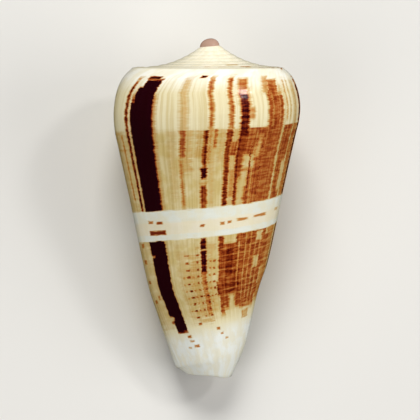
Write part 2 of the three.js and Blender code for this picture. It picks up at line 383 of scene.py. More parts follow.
def welded_mesh(name: str, sheets: list[Sheet]) -> bpy.types.Mesh:
    """Join sheets into one closed mesh.

    Corners of each grid square are looked up among the points, which are merged where they agree
    to a ten-thousandth of a millimetre. A corner equal to the one after it is left out.

    Args:
        name: Name of the mesh.
        sheets: Grids of points in metres.

    Returns:
        The mesh, smooth, with its growth map and bake map.
    """
    points, growths, bakes, corners, finishes = [], [], [], [], []
    start = 0
    for sheet in sheets:
        columns, rows = sheet.points.shape[:2]
        number = start + np.arange(columns * rows).reshape(columns, rows)
        ring = [number[:-1, :-1], number[1:, :-1], number[1:, 1:], number[:-1, 1:]]
        if sheet.turned_over:
            ring.reverse()
        corners.append(np.stack([part.ravel() for part in ring], 1))
        points.append(sheet.points.reshape(-1, 3))
        growths.append(sheet.growth.reshape(-1, 2))
        bakes.append(sheet.bake_places().reshape(-1, 2))
        finishes.append(np.full(len(corners[-1]), sheet.finish.value))
        start += columns * rows
    all_points = np.concatenate(points)
    steps = np.round(all_points / (WELD_MM * METRES_PER_MM)).astype(np.int64)
    _, first, merged = np.unique(steps, axis=0, return_index=True, return_inverse=True)
    loose = np.concatenate(corners)
    welded = merged.ravel()[loose]
    kept = welded != np.roll(welded, -1, axis=1)
    whole = kept.sum(1) >= 3
    kept &= whole[:, None]
    loops = welded[kept]
    totals = kept.sum(1)[whole]
    mesh = bpy.data.meshes.new(name)
    mesh.vertices.add(len(first))
    mesh.vertices.foreach_set("co", all_points[first].ravel())
    mesh.loops.add(len(loops))
    mesh.loops.foreach_set("vertex_index", loops.astype(np.int32))
    mesh.polygons.add(len(totals))
    mesh.polygons.foreach_set("loop_start", (np.cumsum(totals) - totals).astype(np.int32))
    mesh.polygons.foreach_set("material_index", np.concatenate(finishes)[whole].astype(np.int32))
    mesh.polygons.foreach_set("use_smooth", np.ones(len(totals), bool))
    for map_name, values in ((GROWTH_MAP, np.concatenate(growths)), (BAKE_MAP, np.concatenate(bakes))):
        layer = mesh.uv_layers.new(name=map_name)
        layer.uv.foreach_set("vector", values[loose[kept]].astype(np.float32).ravel())
    mesh.update(calc_edges=True)
    mesh.validate()
    return mesh


# ---- Finishes ----


@dataclass
class NodeFinish:
    """A finish made of nodes that read the growth map, in degrees and millimetres."""

    name: str
    ior: float = 1.55

    def __post_init__(self) -> None:
        """Make the material with an empty node tree, and read the growth map."""
        self.material = bpy.data.materials.new(self.name)
        self.material.use_nodes = True
        self.tree = self.material.node_tree
        self.tree.nodes.clear()
        growth_map = self.add("UVMap", (), uv_map=GROWTH_MAP)
        units = (DEGREES_PER_UNIT, MM_PER_UNIT, 0.0)
        self.place = self.add("VectorMath", (growth_map, units), operation="MULTIPLY")

    def add(self, kind: str, inputs: Inputs, stops: Stops = (), **settings: Any) -> Node:
        """Add a node with its settings, values and links.

        Args:
            kind: Blender's name of the node type, without the ShaderNode in front.
            inputs: What goes into the inputs, by name or in their order: a value, a socket that
                feeds it, or a node whose first output feeds it.
            stops: Places from 0 to 1 with their linear colours, for a ramp of colours.
            settings: Node properties and their values.

        Returns:
            The new node.
        """
        made = self.tree.nodes.new("ShaderNode" + kind)
        for name, value in settings.items():
            setattr(made, name, value)
        for number, (at, colour) in enumerate(stops):
            elements = made.color_ramp.elements
            element = elements[number] if number < 2 else elements.new(at)
            element.position, element.color = at, colour
        for name, value in inputs.items() if isinstance(inputs, dict) else enumerate(inputs):
            if isinstance(value, Node):
                value = next(socket for socket in value.outputs if socket.enabled)
            if isinstance(value, Socket):
                self.tree.links.new(value, made.inputs[name])
            else:
                made.inputs[name].default_value = value
        return made

    def noise(self, per_degree: float, per_mm: float, detail: float, roughness: float = 0.6) -> Node:
        """Noise over the growth map, stretched by its steps per degree and millimetre."""
        drawn = self.add("VectorMath", (self.place, (per_degree, per_mm, 0.0)), operation="MULTIPLY")
        inputs = {"Vector": drawn, "Scale": 1.0, "Detail": detail, "Roughness": roughness}
        return self.add("TexNoise", inputs, noise_dimensions="2D")

    def close(
        self, colour: Node, roughness: Any, height: Node, strength: float, depth: float
    ) -> bpy.types.Material:
        """Add the bump, the shader and the output.

        Args:
            colour: Colour of the surface.
            roughness: Its roughness, a number or a node.
            height: Height of its fine relief, 0 to 1.
            strength: How much of the relief shows.
            depth: Depth of the relief, in metres.

        Returns:
            The finished material.
        """
        bump = self.add("Bump", {"Height": height, "Strength": strength, "Distance": depth})
        inputs = {"Base Color": colour, "Roughness": roughness, "IOR": self.ior, "Normal": bump}
        self.add("OutputMaterial", {"Surface": self.add("BsdfPrincipled", inputs)})
        return self.material


@dataclass(frozen=True)
class Mark:
    """One patch of pigment, a rounded rectangle along growth and down the side."""

    at: float  # degrees of growth back from the lip
    down: float  # millimetres below the shoulder's top
    width: float  # degrees
    height: float  # millimetres
    tone: float  # how much pigment: 0.3 tan, 0.6 rust, 0.8 oxblood, over 1 chocolate, below 0 bare
    halo: float  # degrees over which it fades
    ragged: float  # degrees that the threads cut into it


# Marks of the back, in the order that they were grown, from the lip backwards.
WHOLE_MARKS: tuple[Mark, ...] = (
    # thin line, great dark band and its amber edge
    Mark(67.2, 14.5, 2.7, 23.5, 0.95, 1.8, 0.7),
    Mark(70.4, 14.5, 2.4, 21, -0.45, 2.2, 1.2),
    Mark(81.2, 15.9, 20.0, 21.2, 0.36, 2.2, 0.5),
    Mark(80.4, 16.1, 18.6, 20.4, 0.80, 1.2, 0.5),
    Mark(80.0, 16.6, 17.2, 19.6, 2.08, 0.9, 0.6),
    Mark(81.2, 6.6, 15.0, 5.2, 2.08, 1.6, 0.8),
    Mark(82.4, 4.4, 12.0, 3.4, 2.08, 1.8, 0.8),
    # thin lines that curve back over the shoulder
    Mark(109, 6.8, 4, 9.0, 0.26, 3.0, 0.8),
    Mark(125.6, 6.8, 2.2, 8.8, 0.60, 1.8, 0.4),
    Mark(137.6, 6.6, 2.2, 8.6, 0.66, 1.8, 0.4),
    Mark(145.8, 4.6, 6.0, 4.4, 0.5, 2.4, 1.0),
    Mark(148.6, 7.0, 3.0, 5.0, 0.42, 2.4, 0.8),
    Mark(146.3, 9.0, 5.6, 7.6, 0.92, 2.0, 0.9),
    Mark(150.5, 8.8, 4.5, 2.4, 0.38, 1.8, 0.7),
    Mark(154, 10.3, 8, 1.2, -0.80, 2.2, 1.2),
    # shoulder of the red-brown field
    Mark(162.5, 3.6, 4.0, 3.0, 0.36, 1.8, 0.4),
    Mark(170.0, 15.2, 13.6, 19.8, 0.60, 1.8, 0.9),
    Mark(168.6, 4.6, 8.4, 3.6, 0.58, 1.8, 0.9),
    Mark(167.0, 14.8, 1.3, 19.0, -0.35, 0.9, 0.6),
    Mark(173.2, 14.8, 1.1, 19.0, -0.30, 0.9, 0.6),
    Mark(165.0, 8.2, 3.6, 6.5, 0.35, 1.8, 0.7),
    Mark(170.2, 15, 2.6, 19.4, 0.63, 1.8, 0.5),
    Mark(175.6, 8, 2.2, 8, 0.25, 1.8, 0.5),
    Mark(181.0, 6.5, 1.0, 7, 0.36, 1.8, 0.4),
    Mark(185.0, 6.5, 1.2, 7, 0.23, 1.8, 0.4),
    Mark(193, 7.5, 3.5, 8, 0.26, 3.0, 0.4),
)

# Spots of the spire's ramp; each whorl back adds a turn.
SPIRE_MARKS: tuple[Mark, ...] = (
    Mark(133, -1.2, 11, 0.5, 0.34, 3.0, 2.0),
    Mark(151, -1.4, 6, 0.5, 0.34, 3.0, 1.5),
    Mark(163, -1.2, 7, 0.5, 0.36, 3.0, 1.5),
    Mark(164, -0.3, 5, 0.4, 0.7, 2.0, 1.0),
    Mark(175, -0.2, 5, 0.4, 0.7, 2.0, 1.0),
    Mark(189, 0.2, 4, 0.5, 0.66, 2.0, 1.0),
    Mark(458, -1.0, 6, 0.5, 0.34, 3.0, 1.5),
    Mark(473, -0.9, 7, 0.4, 0.26, 3.0, 1.5),
    Mark(500, -0.9, 10, 0.7, 0.38, 4.0, 2.0),
    Mark(849, -0.7, 14, 0.6, 0.24, 4.0, 2.0),
)

# Marks that start at the first colour line, below the shoulder.
MIDDLE_MARKS: tuple[Mark, ...] = (
    Mark(48, 18, 37, 20, 0.15, 8.4, 16.7),
    Mark(52, 14.3, 26, 0.35, 0.28, 6.2, 11.7),
    Mark(52, 11.6, 28, 0.5, 0.23, 6.6, 12.6),
    Mark(58.5, 17.5, 3, 11, 0.43, 1.8, 0.7),
    Mark(93, 17, 4.5, 22, -0.90, 2.2, 1.2),
    Mark(101.5, 17, 5, 12, 0.14, 2.0, 2.2),
    Mark(111, 14.6, 8, 8.5, 0.25, 2.6, 3.6),
    Mark(108.3, 13.3, 3.4, 5.4, 0.63, 1.8, 0.7),
    Mark(107.3, 20.5, 2.2, 8.0, 0.48, 1.8, 0.7),
    Mark(118.5, 13.4, 4.6, 5.4, 0.24, 1.9, 2.1),
    Mark(124.5, 15, 10, 10, 0.20, 3.0, 4.5),
    Mark(122.6, 14.6, 2.9, 8.4, 0.80, 1.8, 0.7),
    Mark(122.5, 18.9, 4.4, 1.9, 1.15, 1.6, 1.0),
    Mark(122.1, 23.4, 4.2, 5.2, 0.77, 1.8, 0.7),
    Mark(125.4, 14, 1.6, 7, 0.45, 1.8, 0.7),
    Mark(128.4, 12.6, 2.2, 3.8, 0.54, 1.8, 0.7),
    Mark(127.5, 20, 2, 9, 0.25, 3.0, 1.0),
    Mark(133, 14, 5, 7, 0.22, 2.0, 2.2),
    Mark(140.6, 18, 8, 17, 0.22, 2.6, 3.6),
    Mark(137.2, 18.5, 3.4, 18, 0.81, 1.8, 0.5),
    Mark(141, 14.8, 5, 2.6, 0.63, 1.6, 0.8),
    Mark(141.4, 21, 4, 5, 0.38, 1.8, 0.7),
    Mark(158.5, 18.4, 25, 17.4, 0.61, 1.6, 0.7),
    Mark(146.6, 14.5, 5.6, 11, 0.71, 1.6, 0.8),
    Mark(144.6, 19, 2.8, 15, 0.81, 1.8, 0.5),
    Mark(148.5, 22.6, 4.5, 4.6, -0.85, 2.2, 1.2),
    Mark(152.6, 17.3, 7.6, 2.2, -0.85, 2.2, 1.2),
    Mark(150.3, 20.4, 3.6, 2.6, -0.80, 2.2, 1.2),
    Mark(159, 14.9, 2.4, 3.4, -0.55, 2.2, 1.2),
    Mark(160.5, 21.5, 5, 4, 0.23, 2.0, 2.2),
    Mark(170.0, 18.4, 11.5, 17.4, 0.58, 1.6, 0.5),
    Mark(170.0, 18.4, 2.6, 17, 0.59, 1.8, 0.5),
    Mark(153.6, 19.5, 1.2, 15.0, 0.80, 0.9, 0.6),
    Mark(156.2, 19.5, 1.0, 15.0, -0.35, 0.9, 0.6),
    Mark(162.0, 19.5, 1.4, 15.0, 0.78, 0.9, 0.6),
    Mark(164.4, 18.5, 1.2, 17.0, -0.40, 0.9, 0.6),
    Mark(181.6, 18.5, 1.0, 16.0, 0.78, 0.9, 0.6),
    Mark(176.8, 18.6, 4.0, 17.4, -0.90, 2.2, 1.2),
    Mark(184.5, 18.4, 11, 17.4, 0.61, 1.6, 0.7),
    Mark(188.4, 20.8, 5, 5.4, -0.75, 2.2, 1.2),
    Mark(195.5, 17.5, 8, 17, 0.51, 1.6, 0.7),
)

# Marks below the white bands.
LOWER_MARKS: tuple[Mark, ...] = (
    Mark(52, 37.5, 36, 18, 0.12, 8.2, 16.2),
    Mark(55.5, 31, 5, 0.8, 0.54, 1.8, 0.4),
    Mark(54, 33.8, 7, 0.7, 0.61, 1.8, 0.4),
    Mark(52.5, 37.3, 6, 0.5, 0.54, 1.8, 0.4),
    Mark(53, 40.8, 6.5, 0.6, 0.61, 1.8, 0.4),
    Mark(63.5, 40.2, 3.8, 0.7, 0.54, 1.7, 0.4),
    Mark(78.4, 37.2, 20.5, 14.6, 0.32, 1.6, 0.7),
    Mark(78.0, 37.2, 19.2, 14.8, 0.80, 1.6, 0.6),
    Mark(78.0, 37.2, 18.4, 14.6, 2.08, 0.9, 0.6),
    Mark(79.8, 45.2, 15.0, 3.4, 2.02, 1.1, 0.5),
    Mark(71.6, 44.3, 7.5, 0.9, -0.90, 2.2, 1.2),
    Mark(69.5, 33.0, 9, 0.6, -0.80, 2.2, 1.2),
    Mark(92, 38, 5, 15, -0.60, 2.2, 1.2),
    Mark(102, 38.5, 10, 14, 0.17, 3.0, 4.5),
    Mark(114, 39.5, 14, 13, 0.26, 3.8, 6.3),
    Mark(121, 31.3, 4.0, 2.0, 1.25, 1.4, 0.9),
    Mark(121, 34.5, 4.4, 4.0, 1.2, 1.6, 0.9),
    Mark(121, 40.2, 4.8, 9.5, 0.54, 1.8, 0.7),
    Mark(127.5, 38, 7, 14, 0.22, 2.4, 3.1),
    Mark(135.8, 37.2, 3.8, 15.4, 0.81, 1.8, 0.5),
    Mark(147.5, 38, 25, 12.4, 0.68, 1.6, 1.0),
    Mark(144, 35.2, 7, 6.4, 0.85, 1.6, 0.7),
    Mark(144, 40.0, 24, 2.6, 0.80, 1.6, 0.7),
    Mark(155, 35.6, 2.6, 12, 0.71, 1.8, 0.7),
    Mark(147, 43.4, 6, 3.2, -0.90, 2.2, 1.2),
    Mark(155, 31.0, 10, 2.2, 0.65, 1.6, 0.5),
    Mark(169, 37.2, 25, 15.2, 0.68, 1.6, 0.7),
    Mark(167, 37, 2.0, 14, 0.59, 1.8, 0.7),
    Mark(149.6, 36.0, 1.4, 11.0, 0.80, 0.9, 0.6),
    Mark(151.8, 36.0, 1.1, 9.0, -0.40, 0.9, 0.6),
    Mark(158.4, 37.0, 1.1, 13.0, -0.40, 0.9, 0.6),
    Mark(161.0, 37.0, 1.4, 13.0, 0.78, 0.9, 0.6),
    Mark(163.6, 37.0, 1.1, 13.0, -0.35, 0.9, 0.6),
    Mark(169.6, 38.0, 1.2, 12.0, -0.40, 0.9, 0.6),
    Mark(172.2, 38.5, 1.4, 11.0, 0.78, 0.9, 0.6),
    Mark(175.4, 37.0, 1.2, 13.0, -0.40, 0.9, 0.6),
    Mark(173, 31.4, 7, 1.6, -0.85, 2.2, 1.2),
    Mark(173, 36.2, 5.5, 1.9, -0.80, 2.2, 1.2),
    Mark(182, 34.5, 9.5, 6.8, 0.63, 1.6, 0.8),
    Mark(182.5, 42, 6, 2, 0.71, 1.6, 0.5),
    Mark(190, 37, 14, 14.4, 0.48, 1.6, 1.0),
    Mark(167, 46.2, 11, 1.6, 0.35, 1.6, 0.7),
)

# Columns below the bands that the threads cut into short dashes.
DASHED_MARKS: tuple[Mark, ...] = (
    Mark(101.6, 40.4, 2.4, 8.4, 0.42, 1.6, 0.8),
    Mark(106.2, 39.8, 3.4, 12.8, 0.8, 1.6, 0.8),
    Mark(110.6, 40.2, 2.6, 8.6, 0.5, 1.6, 0.8),
    Mark(115.4, 38.8, 2.4, 12.6, 0.82, 1.6, 0.8),
    Mark(118.5, 40.6, 2.2, 9.0, 0.62, 1.6, 0.8),
    Mark(122.0, 41.6, 3.8, 8.0, 0.88, 1.6, 0.8),
    Mark(126.2, 38.6, 2.2, 9.0, 0.6, 1.6, 0.8),
    Mark(129.9, 38.2, 2.4, 7.4, 0.76, 1.6, 0.8),
)

# Dashes inside the white bands and on the base, and on the shoulder's top, whose white is pale shell
# lightened into a painted highlight, drawn over the bands.
BAND_MARKS: tuple[Mark, ...] = (
    Mark(80.7, 28.8, 17, 0.62, 0.80, 1.4, 0.1),
    Mark(75, 26.9, 4.5, 0.35, 0.50, 1.8, 0.1),
    Mark(84.5, 27.1, 5, 0.4, 0.67, 1.8, 0.1),
    Mark(120.6, 28.1, 2.6, 0.4, 0.65, 1.2, 0.1),
    Mark(136.3, 28.0, 2.6, 0.4, 0.50, 1.2, 0.1),
    Mark(142.2, 27.9, 2.6, 0.4, 0.50, 1.2, 0.1),
    Mark(153, 27.75, 8, 0.42, 0.44, 2.6, 0.3),
    Mark(170, 27.6, 12, 0.42, 0.46, 2.6, 0.3),
    Mark(193.5, 27.3, 6, 0.5, 0.24, 1.8, 0.3),
    Mark(80, 2.15, 9.5, 0.45, 1.04, 1.8, 0.3),
    Mark(67.5, 2.35, 3, 0.3, 0.43, 1.4, 0.3),
    Mark(118, 1.95, 3.2, 0.45, 1.04, 1.4, 0.3),
    Mark(87.5, 48.1, 4.4, 0.4, 0.58, 1.8, 0.3),
    Mark(89.5, 49.0, 5.6, 0.32, 0.37, 1.8, 0.3),
    Mark(94.2, 50.1, 6.0, 0.4, 0.52, 1.8, 0.3),
    Mark(83, 50.2, 4, 0.3, 0.29, 1.8, 0.3),
    Mark(127, 47.6, 3.4, 0.35, 0.58, 1.5, 0.3),
    Mark(131.2, 48.7, 3.2, 0.35, 0.50, 1.4, 0.3),
    Mark(137.5, 49.8, 3.6, 0.25, 0.32, 1.6, 0.3),
)

# Colour of the shell without pigment, by millimetres below the shoulder's top. The near white of the spire
# and the shoulder's top is pale cream shell lightened into a painted highlight of the light from beyond the
# spire.
GROUND: tuple[tuple[float, Pigment], ...] = (
    (-6.0, Pigment.SPIRE), (-0.5, Pigment.SPIRE), (0.6, Pigment.SHOULDER_HIGHLIGHT), (2.2, Pigment.SHOULDER_HIGHLIGHT),
    (5.0, Pigment.CREAM), (10.8, Pigment.CREAM), (12.0, Pigment.STRAW), (24.9, Pigment.STRAW),
    (25.05, Pigment.BAND), (26.95, Pigment.BAND), (27.1, Pigment.PALE), (29.1, Pigment.PALE),
    (29.25, Pigment.BAND), (30.15, Pigment.BAND), (30.3, Pigment.STRAW), (44.0, Pigment.STRAW),
    (46.5, Pigment.CREAM), (49.0, Pigment.BASE), (60.0, Pigment.BASE),
)


@dataclass
class PatternedShell(NodeFinish):
    """Glossy aragonite shell, polished by wear: cream ground with pigment in growth streaks.

    The pigment's colour depends on how much of it there is: a little is tan, more is amber, rust,
    oxblood and last a chocolate that is nearly black. Aragonite has an index of about 1.55, so it
    reflects weakly but sharply, and its spiral threads and growth lines break that up a little.
    """

    name: str = "polished_aragonite_shell"
    roughness: float = 0.17
    thread_pitch: float = 0.42
    line_pitch: float = 1.28
    first_colour_line: float = 11.25
    band_middle: float = 27.62
    bands_height: float = 5.3
    # degrees and millimetres that a thread may step
    thread_step: tuple[float, float] = (2.6, 0.5)
    line_blur: float = 0.12
    band_blur: float = 0.15
    worn_degrees: tuple[float, float] = (2740.0, 2870.0)
    # growth angles and spacing of the streaks of the belly side
    hidden_range: tuple[float, float, float] = (206.0, 372.0, 11.0)
    hidden_seed: int = 11
    # amount of pigment, its colour and how far it covers the ground
    tones: tuple[tuple[float, str, float], ...] = (
        (0.0, "#cdb27a", 0.0),
        (0.22, "#cda55a", 0.75),
        (0.4, "#c5843a", 0.95),
        (0.58, "#ab5420", 1.0),
        (0.74, "#83300f", 1.0),
        (0.9, "#560f07", 1.0),
        (1.05, "#34040a", 1.0),
        (1.3, "#26030b", 1.0),
    )

    def __post_init__(self) -> None:
        """Work out the threads, the stepped growth coordinates and the edges of the white bands."""
        super().__post_init__()
        # noise drawn out along growth, with one spiral thread each pitch
        self.thread_noise = self.noise(0.035, 0.5 / self.thread_pitch, 2.0)
        self.threads = self.add("MapRange", (self.thread_noise, 0.40, 0.70), **SMOOTH)
        # each thread steps a little forwards or back in growth
        step = self.noise(0.1, 1.6 / self.thread_pitch, 2.0).outputs["Color"]
        reach = (*self.thread_step, 0.0)
        back = tuple(-part / 2 for part in reach)
        step = self.add("VectorMath", (step, reach, back), operation="MULTIPLY_ADD")
        self.growth = self.add("VectorMath", (self.place, step), operation="ADD")
        self.down = self.add("SeparateXYZ", (self.growth,)).outputs["Y"]
        # 0 between the white bands' outer edges, 1 elsewhere
        away = self.add("Math", (self.down, self.band_middle), operation="SUBTRACT")
        away = self.add("Math", (away,), operation="ABSOLUTE")
        edges = (self.bands_height / 2 - self.band_blur, self.bands_height / 2 + self.band_blur)
        self.outside = self.add("MapRange", (away, *edges), **SMOOTH)

    def hidden_streaks(self, down: float, height: float) -> tuple[Mark, ...]:
        """Streaks of the belly side, drawn at random in the same widths and tones.

        Args:
            down: Millimetres of their middle.
            height: Their height.

        Returns:
            The streaks.
        """
        draw = np.random.default_rng(self.hidden_seed)
        made = []
        for at in np.arange(*self.hidden_range):
            centre = at + float(draw.uniform(-3, 3))
            tone = float(draw.choice((0.32, 0.46, 0.66, 0.84)))
            made.append(Mark(centre, down, float(draw.uniform(2.5, 9.0)), height, tone, 1.2, 0.9))
        return tuple(made)

    def product(self, first: Any, *others: Any) -> Node:
        """Product of several amounts, taken one after the other."""
        for other in others:
            first = self.add("Math", (first, other), operation="MULTIPLY")
        return first

    def add_marks(self, amount: Any, marks: tuple[Mark, ...]) -> Any:
        """Add marks to an amount of pigment.

        A point's distance from the mark's middle is scaled so that the mark's edge is at 1, each
        way for itself, and the larger of the two counts. Threads of the shell add to it, so they
        cut the mark's edge into dashes. A mark with a tone below 0 takes pigment away.

        Args:
            amount: Amount of pigment before the marks.
            marks: Marks in the order they are laid.

        Returns:
            The amount with the marks in it.
        """
        for mark in marks:
            reach = mark.width / 2
            # down the side the edge fades over less, above all in a low mark
            step = mark.halo / reach / min(0.1 + 0.15 * mark.height, 1.3)
            away = self.add("VectorMath", (self.growth, (mark.at, mark.down, 1.0)), operation="SUBTRACT")
            # the third number becomes 1 everywhere, so a sum of products can add a constant
            away = self.add("VectorMath", (away,), operation="ABSOLUTE")
            along, across = (
                self.add("VectorMath", (away, parts), operation="DOT_PRODUCT")
                for parts in ((1.0 / reach, 0.0, 0.0), (0.0, step, 1.0 - step * mark.height / 2))
            )
            larger = self.add("Math", (along, across), operation="MAXIMUM")
            cut = self.add("Math", (self.threads, mark.ragged / reach, larger), operation="MULTIPLY_ADD")
            edges = (1.0 + mark.halo / reach, 1.0 - 0.5 * mark.halo / reach)
            bare = mark.tone < 0
            ends = (1.0, 1.0 + mark.tone) if bare else (0.0, mark.tone)
            share = self.add("MapRange", (cut, *edges, *ends), **SMOOTH)
            amount = self.add("Math", (amount, share), operation="MULTIPLY" if bare else "MAXIMUM")
        return amount

    def ground(self) -> Node:
        """Colour of the shell without pigment: spire and shoulder's top lightened to near white as a painted
        highlight over pale cream, cream body, white bands and base.
        """
        top, end = GROUND[0][0], GROUND[-1][0]
        share = self.add("MapRange", (self.down, top, end))
        stops = [((at - top) / (end - top), linear(pigment.value)) for at, pigment in GROUND]
        ramp = self.add("ValToRGB", (share,), stops)
        cloud = self.add("MapRange", (self.noise(0.09, 0.35, 3.0), 0.35, 0.65, 0.0, 0.45), **SMOOTH)
        inputs = {"Factor": cloud, "A": ramp, "B": linear(Pigment.CREAM.value)}
        return self.add("Mix", inputs, data_type="RGBA")

    def amount(self) -> Node:
        """Amount of pigment: the marks of each zone, cut at the zone's lines and grained.

        Returns:
            The amount, 0 for none and over 1 for the darkest.
        """
        zones = (
            WHOLE_MARKS + self.hidden_streaks(7.0, 8.0)[::3], MIDDLE_MARKS + self.hidden_streaks(18.0, 15.0),
            LOWER_MARKS + self.hidden_streaks(37.4, 14.6), DASHED_MARKS,
        )
        whole, middle, lower, dashed = (self.add_marks(0.0, marks) for marks in zones)
        below_line, below_bands = (
            self.add("MapRange", (self.down, line - self.line_blur, line + self.line_blur), **SMOOTH)
            for line in (self.first_colour_line, self.band_middle + self.bands_height / 2)
        )
        # each third thread of the lower zone carries less pigment, and dashes stand between them
        pitch = self.line_pitch
        fold = self.add("Math", (self.down, pitch / 2), operation="PINGPONG")
        line = self.add("MapRange", (fold, pitch * 0.3, pitch * 0.5, 1.0, 0.72), **SMOOTH)
        dash = self.add("MapRange", (fold, pitch * 0.22, pitch * 0.1), **SMOOTH)
        amount = self.product(lower, below_bands, line)
        for other in (self.product(dash, dashed), whole, self.product(middle, below_line)):
            amount = self.add("Math", (amount, other), operation="MAXIMUM")
        # grain along the threads, and streaks along the growth lines
        grain = self.add("MapRange", (self.noise(0.11, 1.9, 3.0), 0.3, 0.7, 1.14, 0.78), **SMOOTH)
        streak = self.add("MapRange", (self.noise(0.8, 0.06, 2.0), 0.3, 0.7, 0.86, 1.1), **SMOOTH)
        return self.add_marks(self.product(amount, grain, streak, self.outside), BAND_MARKS + SPIRE_MARKS)

    def colour(self) -> Node:
        """Colour of the shell: pigment over the ground, faint growth shading and the worn point."""
        top = self.tones[-1][0]
        share = self.add("Math", (self.amount(), top), operation="DIVIDE")
        stops = [(at / top, linear(hue)[:3] + (cover,)) for at, hue, cover in self.tones]
        tone = self.add("ValToRGB", (share,), stops)
        inputs = {"Factor": tone.outputs["Alpha"], "A": self.ground(), "B": tone}
        colour = self.add("Mix", inputs, data_type="RGBA")
        # faint growth shading, which leaves the base, the shoulder's top and the bands clear
        shades = (
            (self.noise(0.45, 0.04, 3.0), 0.3, 0.62, 0.55, 0.0),
            (self.down, 43.0, 48.0, 1.0, 0.1),
            (self.down, 0.0, 6.0, 0.1, 0.8),
        )
        shade = self.product(*(self.add("MapRange", part, **SMOOTH) for part in shades), self.outside)
        inputs = {"Factor": shade, "A": colour, "B": linear(Pigment.STRAW.value)}
        colour = self.add("Mix", inputs, data_type="RGBA", blend_type="MULTIPLY")
        # the oldest whorls are worn down to a rosy brown
        degrees = self.add("SeparateXYZ", (self.place,))
        worn = self.add("MapRange", (degrees, *self.worn_degrees, 0.0, 0.85), **SMOOTH)
        inputs = {"Factor": worn, "A": colour, "B": linear(Pigment.APEX.value)}
        return self.add("Mix", inputs, data_type="RGBA")

    def build(self) -> bpy.types.Material:
        """Make the material: growth lines and threads roughen the polish and raise it a little."""
        lines = self.noise(1.1, 0.12, 3.0)
        height = self.add("Math", (lines, 0.6, self.thread_noise), operation="MULTIPLY_ADD")
        ends = (self.roughness - 0.04, self.roughness + 0.06)
        polish = self.add("MapRange", (lines, 0.3, 0.7, *ends), **SMOOTH)
        return self.close(self.colour(), polish, height, 0.25, 0.00012)


@dataclass
class InnerPorcelain(NodeFinish):
    """Inside of the wall: smooth white shell with a faint cream cast, never worn by sand."""

    name: str = "inner_porcellaneous_shell"
    hue: str = "#f1ebe0"
    shade: str = "#e2cfb8"
    roughness: float = 0.32

    def build(self) -> bpy.types.Material:
        """Make the material: soft clouds, about 15 degrees and 10 mm across, tint and raise it."""
        cloud = self.noise(1 / 15, 0.1, 3.0, 0.5)
        inputs = {"Factor": cloud, "A": linear(self.hue), "B": linear(self.shade)}
        mixed = self.add("Mix", inputs, data_type="RGBA")
        return self.close(mixed, self.roughness, cloud, 0.2, 0.0002)


# ---- The shell ----


